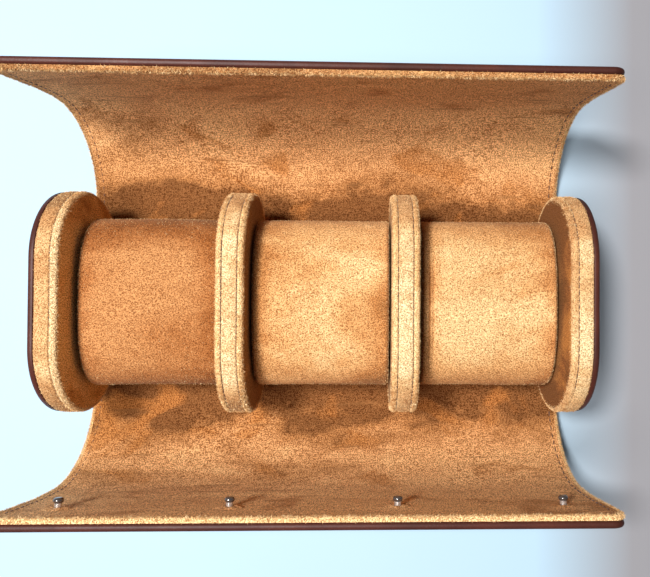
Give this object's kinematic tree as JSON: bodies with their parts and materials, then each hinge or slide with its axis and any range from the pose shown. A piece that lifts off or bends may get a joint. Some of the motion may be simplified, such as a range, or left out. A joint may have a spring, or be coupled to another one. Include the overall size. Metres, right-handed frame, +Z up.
{
  "type": "watch travel case",
  "caption": "Open leather watch roll with a curved wrap, oval end caps and dividers, lift-out pillows and a row of ball studs along one flap.",
  "frame": {"origin": "on the flat underside of the base, midway between the end caps and on the middle line of the oval caps", "axes": "+X along the roll from the left cap to the right cap; +Y towards the back flap, the flap without studs; +Z up out of the open case"},
  "size_m": [0.205, 0.1588, 0.0825],
  "materials": {
    "leather": "fine-grained dark brown leather, semi-matt",
    "suede_lining": "brushed tan suede",
    "suede_edge": "light tan suede, raised nap",
    "suede_face": "deep tan suede",
    "board": "fibre stiffening board",
    "foam": "soft foam",
    "steel": "polished steel"
  },
  "bodies": {
    "body": {"base_leather": "leather", "base_board": "board", "base_lining": "suede_lining", "left_cap_leather": "leather", "left_cap_band": "suede_edge", "left_cap_core": "board", "left_cap_panel": "suede_face", "right_cap_leather": "leather", "right_cap_band": "suede_edge", "right_cap_core": "board", "right_cap_panel": "suede_face", "left_divider_band": "suede_edge", "left_divider_core": "board", "left_divider_left_panel": "suede_face", "left_divider_right_panel": "suede_face", "right_divider_band": "suede_edge", "right_divider_core": "board", "right_divider_left_panel": "suede_face", "right_divider_right_panel": "suede_face"},
    "front_fold_1": {"front_fold_1_leather": "leather", "front_fold_1_lining": "suede_lining"},
    "front_fold_2": {"front_fold_2_leather": "leather", "front_fold_2_lining": "suede_lining"},
    "front_wall_low": {"front_wall_low_leather": "leather", "front_wall_low_board": "board", "front_wall_low_lining": "suede_lining"},
    "front_wall_high": {"front_wall_high_leather": "leather", "front_wall_high_board": "board", "front_wall_high_lining": "suede_lining"},
    "front_shoulder": {"front_shoulder_leather": "leather", "front_shoulder_lining": "suede_lining"},
    "front_edge": {"front_edge_leather": "leather", "front_edge_board": "board", "front_edge_lining": "suede_lining", "ball_studs": "steel", "stud_plates": "steel"},
    "back_fold_1": {"back_fold_1_leather": "leather", "back_fold_1_lining": "suede_lining"},
    "back_fold_2": {"back_fold_2_leather": "leather", "back_fold_2_lining": "suede_lining"},
    "back_wall_low": {"back_wall_low_leather": "leather", "back_wall_low_board": "board", "back_wall_low_lining": "suede_lining"},
    "back_wall_high": {"back_wall_high_leather": "leather", "back_wall_high_board": "board", "back_wall_high_lining": "suede_lining"},
    "back_shoulder": {"back_shoulder_leather": "leather", "back_shoulder_lining": "suede_lining"},
    "back_edge": {"back_edge_leather": "leather", "back_edge_board": "board", "back_edge_lining": "suede_lining", "snap_sockets": "steel"},
    "left_pillow": {"left_pillow_cover": "suede_face", "left_pillow_core": "foam"},
    "middle_pillow": {"middle_pillow_cover": "suede_face", "middle_pillow_core": "foam"},
    "right_pillow": {"right_pillow_cover": "suede_face", "right_pillow_core": "foam"}
  },
  "joints": [
    {"name": "front_fold_1_bend", "type": "hinge", "parent": "body", "child": "front_fold_1", "pos_m": [0, -0.02, 0.0044], "axis": [1, 0, 0], "range_deg": [-9, 0]},
    {"name": "front_fold_2_bend", "type": "hinge", "parent": "front_fold_1", "child": "front_fold_2", "pos_m": [0, -0.029, 0.0044], "axis": [1, 0, 0], "range_deg": [-29, 0]},
    {"name": "front_wall_low_bend", "type": "hinge", "parent": "front_fold_2", "child": "front_wall_low", "pos_m": [0, -0.038, 0.0044], "axis": [1, 0, 0], "range_deg": [-5, 0]},
    {"name": "front_flap", "type": "hinge", "parent": "front_wall_low", "child": "front_wall_high", "pos_m": [0, -0.06204, 0.01436], "axis": [1, 0, 0], "range_deg": [-10, 0]},
    {"name": "front_shoulder_bend", "type": "hinge", "parent": "front_wall_high", "child": "front_shoulder", "pos_m": [0, -0.072, 0.0384], "axis": [1, 0, 0], "range_deg": [-3, 0]},
    {"name": "front_edge_bend", "type": "hinge", "parent": "front_shoulder", "child": "front_edge", "pos_m": [0, -0.07102, 0.05237], "axis": [1, 0, 0], "range_deg": [-26, 0]},
    {"name": "back_fold_1_bend", "type": "hinge", "parent": "body", "child": "back_fold_1", "pos_m": [0, 0.018, 0.0044], "axis": [-1, 0, 0], "range_deg": [-8, 0]},
    {"name": "back_fold_2_bend", "type": "hinge", "parent": "back_fold_1", "child": "back_fold_2", "pos_m": [0, 0.03, 0.0044], "axis": [-1, 0, 0], "range_deg": [-22, 0]},
    {"name": "back_wall_low_bend", "type": "hinge", "parent": "back_fold_2", "child": "back_wall_low", "pos_m": [0, 0.042, 0.0044], "axis": [-1, 0, 0], "range_deg": [-25, 0]},
    {"name": "back_flap", "type": "hinge", "parent": "back_wall_low", "child": "back_wall_high", "pos_m": [0, 0.06746, 0.01494], "axis": [-1, 0, 0], "range_deg": [-13, 0]},
    {"name": "back_shoulder_bend", "type": "hinge", "parent": "back_wall_high", "child": "back_shoulder", "pos_m": [0, 0.078, 0.0404], "axis": [-1, 0, 0], "range_deg": [-14, 0]},
    {"name": "back_edge_bend", "type": "hinge", "parent": "back_shoulder", "child": "back_edge", "pos_m": [0, 0.07737, 0.05238], "axis": [-1, 0, 0], "range_deg": [-1, 0]},
    {"name": "left_pillow_lift", "type": "slide", "parent": "body", "child": "left_pillow", "axis": [0, 0, 1], "range_m": [0, 0.085]},
    {"name": "middle_pillow_lift", "type": "slide", "parent": "body", "child": "middle_pillow", "axis": [0, 0, 1], "range_m": [0, 0.085]},
    {"name": "right_pillow_lift", "type": "slide", "parent": "body", "child": "right_pillow", "axis": [0, 0, 1], "range_m": [0, 0.085]}
  ],
  "couplings": [
    {"joint": "front_fold_1_bend", "follows": "front_flap", "ratio": 0.9},
    {"joint": "front_fold_2_bend", "follows": "front_flap", "ratio": 2.9},
    {"joint": "front_wall_low_bend", "follows": "front_flap", "ratio": 0.5},
    {"joint": "front_shoulder_bend", "follows": "front_flap", "ratio": 0.3},
    {"joint": "front_edge_bend", "follows": "front_flap", "ratio": 2.6},
    {"joint": "back_fold_1_bend", "follows": "back_flap", "ratio": 0.61538},
    {"joint": "back_fold_2_bend", "follows": "back_flap", "ratio": 1.6923},
    {"joint": "back_wall_low_bend", "follows": "back_flap", "ratio": 1.9231},
    {"joint": "back_shoulder_bend", "follows": "back_flap", "ratio": 1.0769},
    {"joint": "back_edge_bend", "follows": "back_flap", "ratio": 0.076923}
  ]
}
